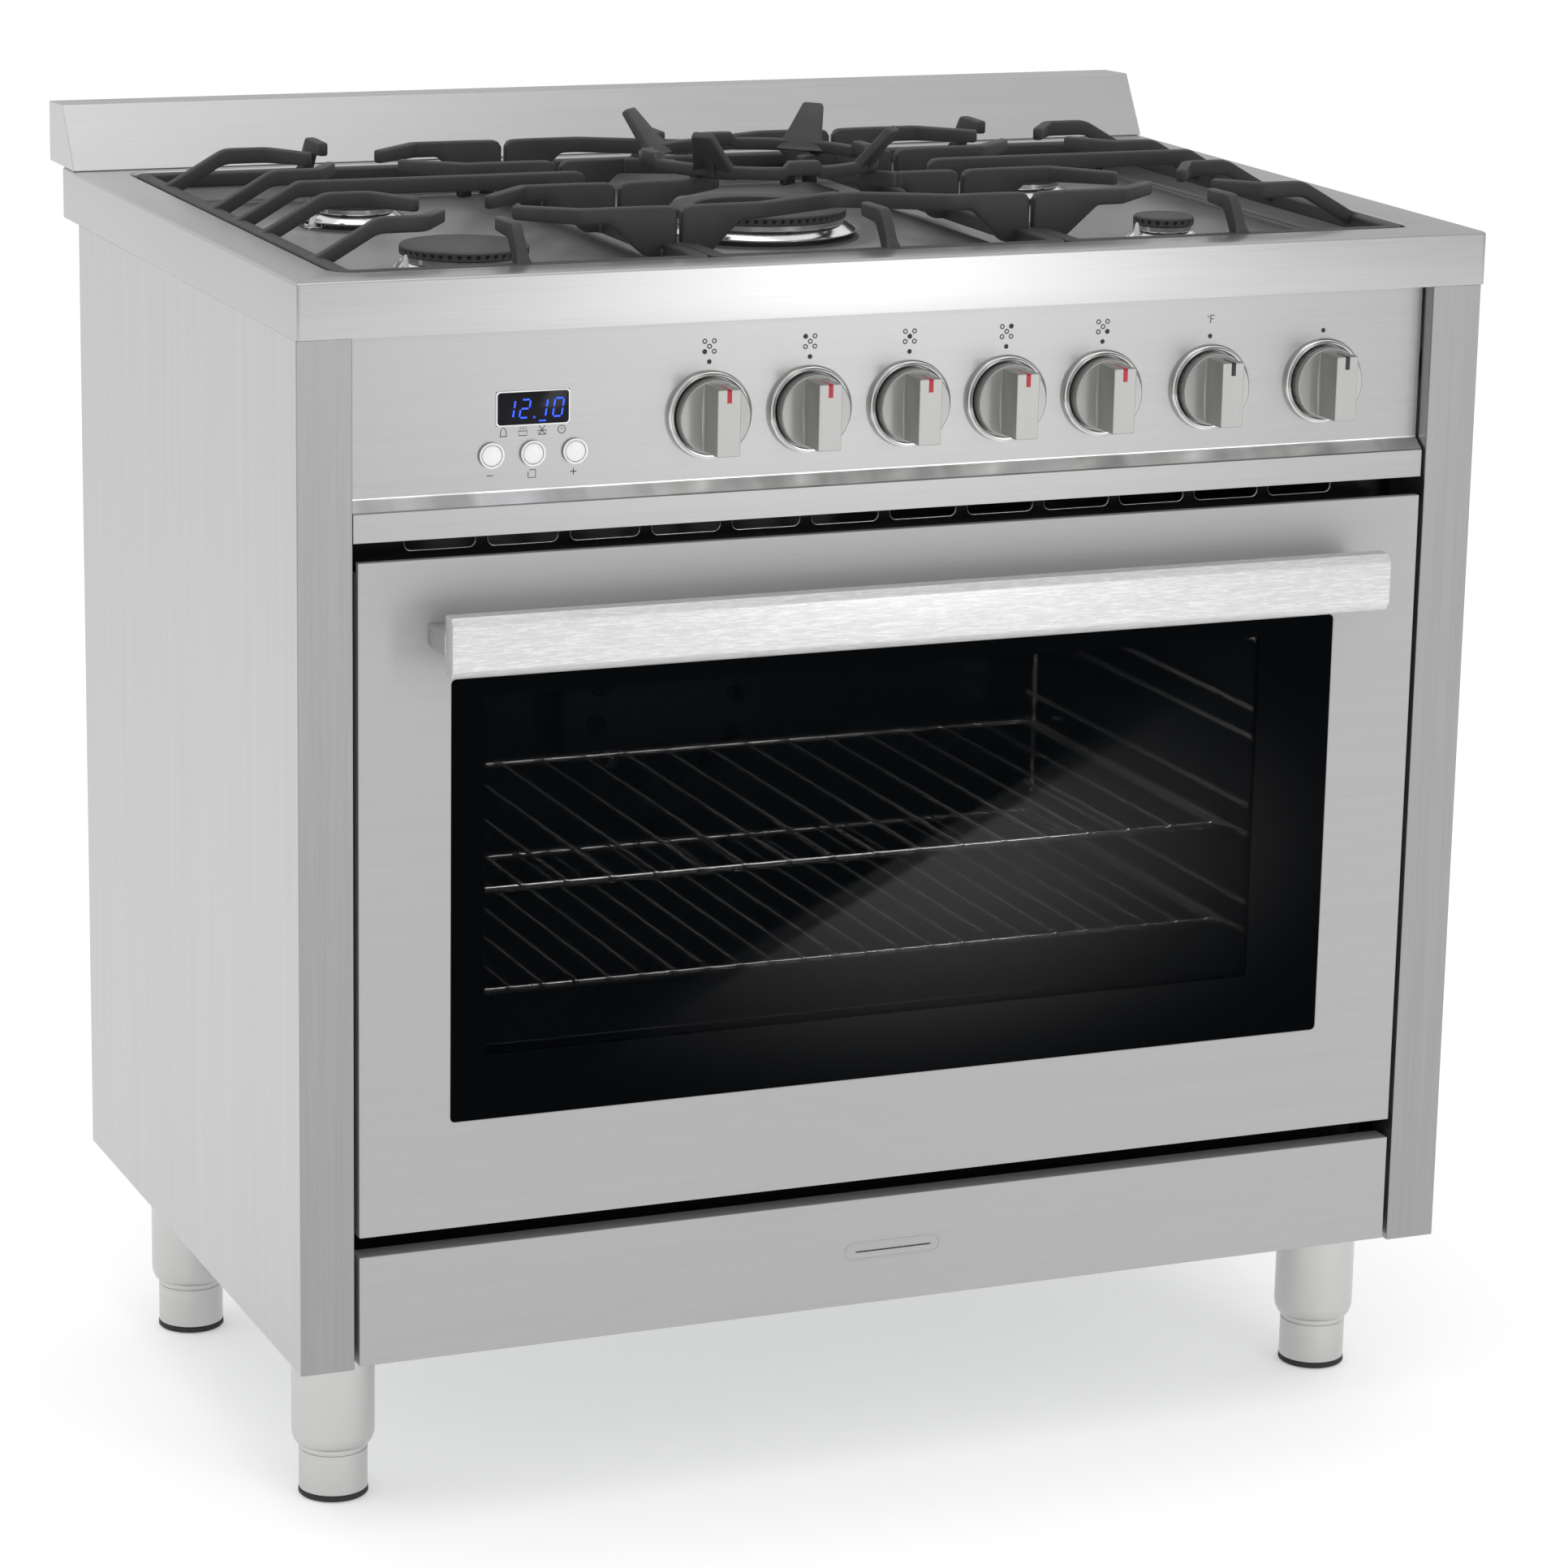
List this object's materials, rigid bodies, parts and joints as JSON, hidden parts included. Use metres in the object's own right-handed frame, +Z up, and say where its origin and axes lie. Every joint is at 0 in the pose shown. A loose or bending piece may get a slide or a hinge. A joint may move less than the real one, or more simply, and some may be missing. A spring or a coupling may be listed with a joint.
{
  "type": "freestanding gas range",
  "caption": "Freestanding stainless gas range: recessed burner hob with cast grates and wok ring, knob and clock fascia, drop-down glass oven door, storage drawer, round adjustable legs.",
  "frame": {"origin": "on the floor, under the middle of the overall box", "axes": "+X to the right seen from the front, +Y towards the back, +Z up"},
  "size_m": [0.9, 0.684, 0.9539],
  "materials": {
    "side_steel": "brushed stainless, vertical grain",
    "hob_steel": "brushed stainless, grain from side to side",
    "front_steel": "brushed stainless, horizontal grain",
    "galvanised": "zinc-coated sheet",
    "handle_steel": "coarse bright brushing",
    "knob_metal": "satin metal",
    "button_silver": "silver plastic",
    "clock_plastic": "smoked screen",
    "oven_enamel": "black vitreous enamel",
    "door_glass": "dark tinted glass, nearly opaque",
    "inner_glass": "clear heat-resistant glass",
    "gas_brass": "plain",
    "wire_chrome": "plated wire",
    "leg_steel": "brushed tube",
    "foot_steel": "satin, with a rubber sole",
    "burner_aluminium": "polished casting",
    "cap_enamel": "matt black enamel",
    "grate_iron": "matt black cast iron"
  },
  "bodies": {
    "casing": {"side_panel_left": "side_steel", "side_panel_right": "side_steel", "back_panel": "galvanised", "base_pan": "galvanised", "cooktop": "hob_steel", "backguard": "hob_steel", "control_panel": "front_steel", "clock_module": "clock_plastic", "oven_cavity": "oven_enamel", "oven_burner": "oven_enamel", "fan_cover": "oven_enamel", "gas_rail": "gas_brass", "rack_guide_left": "wire_chrome", "rack_guide_right": "wire_chrome", "leg_front_left": "leg_steel", "leg_front_right": "leg_steel", "leg_back_left": "leg_steel", "leg_back_right": "leg_steel", "burner_front_left": "burner_aluminium", "burner_back_left": "burner_aluminium", "burner_centre": "burner_aluminium", "burner_back_right": "burner_aluminium", "burner_front_right": "burner_aluminium", "cap_front_left": "cap_enamel", "cap_back_left": "cap_enamel", "cap_centre": "cap_enamel", "cap_back_right": "cap_enamel", "cap_front_right": "cap_enamel"},
    "door": {"door_skin": "front_steel", "door_glass": "door_glass", "door_liner": "oven_enamel", "inner_glass": "inner_glass", "handle_bar": "handle_steel", "handle_post_left": "handle_steel", "handle_post_right": "handle_steel", "door_hinge_left": "galvanised", "door_hinge_right": "galvanised"},
    "drawer": {"drawer_front": "front_steel", "drawer_tray": "galvanised"},
    "knob_1_body": {"knob_1": "knob_metal"},
    "knob_2_body": {"knob_2": "knob_metal"},
    "knob_3_body": {"knob_3": "knob_metal"},
    "knob_4_body": {"knob_4": "knob_metal"},
    "knob_5_body": {"knob_5": "knob_metal"},
    "knob_6_body": {"knob_6": "knob_metal"},
    "knob_7_body": {"knob_7": "knob_metal"},
    "button_minus_body": {"button_minus": "button_silver"},
    "button_set_body": {"button_set": "button_silver"},
    "button_plus_body": {"button_plus": "button_silver"},
    "rack_upper_body": {"rack_upper": "wire_chrome"},
    "rack_lower_body": {"rack_lower": "wire_chrome"},
    "grate_left_body": {"grate_left": "grate_iron"},
    "grate_centre_body": {"grate_centre": "grate_iron"},
    "grate_right_body": {"grate_right": "grate_iron"},
    "wok_ring_body": {"wok_ring": "grate_iron"},
    "foot_front_left_body": {"foot_front_left": "foot_steel"},
    "foot_front_right_body": {"foot_front_right": "foot_steel"},
    "foot_back_left_body": {"foot_back_left": "foot_steel"},
    "foot_back_right_body": {"foot_back_right": "foot_steel"},
    "fan": {"convection_fan": "galvanised"}
  },
  "joints": [
    {"name": "door_hinge", "type": "hinge", "parent": "casing", "child": "door", "pos_m": [0, -0.27, 0.233], "axis": [1, 0, 0], "range_deg": [0, 90], "stiffness_Nm_per_rad": 9, "springref_deg": -28.65},
    {"name": "drawer_slide", "type": "slide", "parent": "casing", "child": "drawer", "axis": [0, -1, 0], "range_m": [0, 0.35]},
    {"name": "gas_front_left_turn", "type": "hinge", "parent": "casing", "child": "knob_1_body", "pos_m": [-0.1487, -0.2765, 0.7872], "axis": [0, -1, 0], "range_deg": [0, 240]},
    {"name": "gas_back_left_turn", "type": "hinge", "parent": "casing", "child": "knob_2_body", "pos_m": [-0.0737, -0.2765, 0.7872], "axis": [0, -1, 0], "range_deg": [0, 240]},
    {"name": "gas_centre_turn", "type": "hinge", "parent": "casing", "child": "knob_3_body", "pos_m": [0.0017, -0.2765, 0.7872], "axis": [0, -1, 0], "range_deg": [0, 240]},
    {"name": "gas_back_right_turn", "type": "hinge", "parent": "casing", "child": "knob_4_body", "pos_m": [0.0761, -0.2765, 0.7872], "axis": [0, -1, 0], "range_deg": [0, 240]},
    {"name": "gas_front_right_turn", "type": "hinge", "parent": "casing", "child": "knob_5_body", "pos_m": [0.1513, -0.2765, 0.7872], "axis": [0, -1, 0], "range_deg": [0, 240]},
    {"name": "oven_thermostat_turn", "type": "hinge", "parent": "casing", "child": "knob_6_body", "pos_m": [0.2367, -0.2765, 0.7872], "axis": [0, -1, 0], "range_deg": [-270, 0]},
    {"name": "oven_function_turn", "type": "hinge", "parent": "casing", "child": "knob_7_body", "pos_m": [0.3283, -0.2765, 0.7872], "axis": [0, -1, 0], "range_deg": [-90, 90]},
    {"name": "button_minus_press", "type": "slide", "parent": "casing", "child": "button_minus_body", "axis": [0, 1, 0], "range_m": [0, 0.0015], "stiffness_N_per_m": 300, "springref_m": -0.0005},
    {"name": "button_set_press", "type": "slide", "parent": "casing", "child": "button_set_body", "axis": [0, 1, 0], "range_m": [0, 0.0015], "stiffness_N_per_m": 300, "springref_m": -0.0005},
    {"name": "button_plus_press", "type": "slide", "parent": "casing", "child": "button_plus_body", "axis": [0, 1, 0], "range_m": [0, 0.0015], "stiffness_N_per_m": 300, "springref_m": -0.0005},
    {"name": "rack_upper_slide", "type": "slide", "parent": "casing", "child": "rack_upper_body", "axis": [0, -1, 0], "range_m": [0, 0.035]},
    {"name": "rack_lower_slide", "type": "slide", "parent": "casing", "child": "rack_lower_body", "axis": [0, -1, 0], "range_m": [0, 0.035]},
    {"name": "grate_left_lift", "type": "slide", "parent": "casing", "child": "grate_left_body", "axis": [0, 0, 1], "range_m": [0, 0.15]},
    {"name": "grate_centre_lift", "type": "slide", "parent": "casing", "child": "grate_centre_body", "axis": [0, 0, 1], "range_m": [0, 0.15]},
    {"name": "grate_right_lift", "type": "slide", "parent": "casing", "child": "grate_right_body", "axis": [0, 0, 1], "range_m": [0, 0.15]},
    {"name": "wok_ring_lift", "type": "slide", "parent": "grate_centre_body", "child": "wok_ring_body", "axis": [0, 0, 1], "range_m": [0, 0.15]},
    {"name": "foot_front_left_adjust", "type": "slide", "parent": "casing", "child": "foot_front_left_body", "axis": [0, 0, -1], "range_m": [0, 0.025]},
    {"name": "foot_front_right_adjust", "type": "slide", "parent": "casing", "child": "foot_front_right_body", "axis": [0, 0, -1], "range_m": [0, 0.025]},
    {"name": "foot_back_left_adjust", "type": "slide", "parent": "casing", "child": "foot_back_left_body", "axis": [0, 0, -1], "range_m": [0, 0.025]},
    {"name": "foot_back_right_adjust", "type": "slide", "parent": "casing", "child": "foot_back_right_body", "axis": [0, 0, -1], "range_m": [0, 0.025]},
    {"name": "fan_spin", "type": "hinge", "parent": "casing", "child": "fan", "pos_m": [0, 0.186, 0.46285], "axis": [0, 1, 0], "continuous": true}
  ]
}
